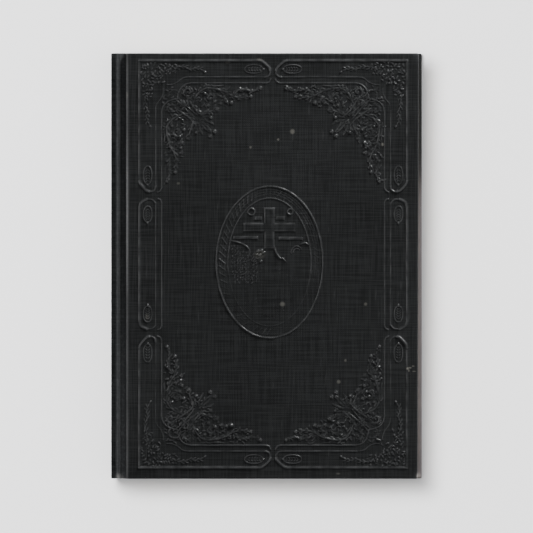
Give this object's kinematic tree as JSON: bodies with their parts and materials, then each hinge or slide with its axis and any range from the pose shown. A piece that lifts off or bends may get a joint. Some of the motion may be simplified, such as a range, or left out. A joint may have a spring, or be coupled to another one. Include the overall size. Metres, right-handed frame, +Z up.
{
  "type": "prayer book",
  "caption": "Small cloth-bound hardback book with raised lines on its front cover, a rounded spine, hinged covers and end leaves that lift with them.",
  "frame": {"origin": "under the middle of the whole book, on the face it lies on", "axes": "+X from the spine to the fore-edge, +Y towards the head, +Z up out of the front cover"},
  "size_m": [0.125, 0.171, 0.0238],
  "materials": {
    "black_cloth": "woven book cloth, raised lines pressed into the front",
    "board": "grey-brown binder's board",
    "endpaper": "plain heavy end sheet",
    "book_paper": "thin cream book paper",
    "lining_paper": "brown kraft lining paper",
    "mull": "open cotton gauze",
    "thread": "linen sewing thread",
    "band": "woven cotton band"
  },
  "bodies": {
    "text_block": {"section_01": "book_paper", "section_02": "book_paper", "section_03": "book_paper", "section_04": "book_paper", "section_05": "book_paper", "section_06": "book_paper", "section_07": "book_paper", "section_08": "book_paper", "section_09": "book_paper", "section_10": "book_paper", "sewing_threads": "thread", "spine_mull": "mull", "spine_lining": "lining_paper", "headband": "band", "tailband": "band", "spine_strip": "board", "spine_cloth": "black_cloth"},
    "front_cover": {"front_board": "board", "front_cover_cloth": "black_cloth", "front_mull_flange": "mull", "front_pastedown": "endpaper", "front_joint_cloth": "black_cloth"},
    "rear_cover": {"rear_board": "board", "rear_cover_cloth": "black_cloth", "rear_mull_flange": "mull", "rear_pastedown": "endpaper", "rear_joint_cloth": "black_cloth"},
    "front_flyleaf": {"front_flyleaf": "endpaper"},
    "title_leaf": {"title_leaf": "book_paper"},
    "leaf_3": {"leaf_3": "book_paper"},
    "leaf_4": {"leaf_4": "book_paper"},
    "leaf_5": {"leaf_5": "book_paper"},
    "rear_flyleaf": {"rear_flyleaf": "endpaper"},
    "last_leaf": {"last_leaf": "book_paper"}
  },
  "joints": [
    {"name": "front_cover_hinge", "type": "hinge", "parent": "text_block", "child": "front_cover", "pos_m": [-0.0599, 0, 0.01944], "axis": [0, -1, 0], "range_deg": [0, 185], "deforming": ["front_joint_cloth"]},
    {"name": "rear_cover_hinge", "type": "hinge", "parent": "text_block", "child": "rear_cover", "pos_m": [-0.0599, 0, 0.00344], "axis": [0, 1, 0], "range_deg": [0, 175], "deforming": ["rear_joint_cloth"]},
    {"name": "front_flyleaf_hinge", "type": "hinge", "parent": "text_block", "child": "front_flyleaf", "pos_m": [-0.0599, 0, 0.01944], "axis": [0, -1, 0], "range_deg": [0, 177.6]},
    {"name": "title_leaf_hinge", "type": "hinge", "parent": "text_block", "child": "title_leaf", "pos_m": [-0.0599, 0, 0.01944], "axis": [0, -1, 0], "range_deg": [0, 144.3]},
    {"name": "leaf_3_hinge", "type": "hinge", "parent": "text_block", "child": "leaf_3", "pos_m": [-0.0599, 0, 0.01944], "axis": [0, -1, 0], "range_deg": [0, 107.3]},
    {"name": "leaf_4_hinge", "type": "hinge", "parent": "text_block", "child": "leaf_4", "pos_m": [-0.0599, 0, 0.01944], "axis": [0, -1, 0], "range_deg": [0, 70.3]},
    {"name": "leaf_5_hinge", "type": "hinge", "parent": "text_block", "child": "leaf_5", "pos_m": [-0.0599, 0, 0.01944], "axis": [0, -1, 0], "range_deg": [0, 33.3]},
    {"name": "rear_flyleaf_hinge", "type": "hinge", "parent": "text_block", "child": "rear_flyleaf", "pos_m": [-0.0599, 0, 0.00344], "axis": [0, 1, 0], "range_deg": [0, 166.25]},
    {"name": "last_leaf_hinge", "type": "hinge", "parent": "text_block", "child": "last_leaf", "pos_m": [-0.0599, 0, 0.00344], "axis": [0, 1, 0], "range_deg": [0, 87.5]}
  ],
  "couplings": [
    {"joint": "front_flyleaf_hinge", "follows": "front_cover_hinge", "ratio": 0.96},
    {"joint": "title_leaf_hinge", "follows": "front_cover_hinge", "ratio": 0.78},
    {"joint": "leaf_3_hinge", "follows": "front_cover_hinge", "ratio": 0.58},
    {"joint": "leaf_4_hinge", "follows": "front_cover_hinge", "ratio": 0.38},
    {"joint": "leaf_5_hinge", "follows": "front_cover_hinge", "ratio": 0.18},
    {"joint": "rear_flyleaf_hinge", "follows": "rear_cover_hinge", "ratio": 0.95},
    {"joint": "last_leaf_hinge", "follows": "rear_cover_hinge", "ratio": 0.5}
  ]
}
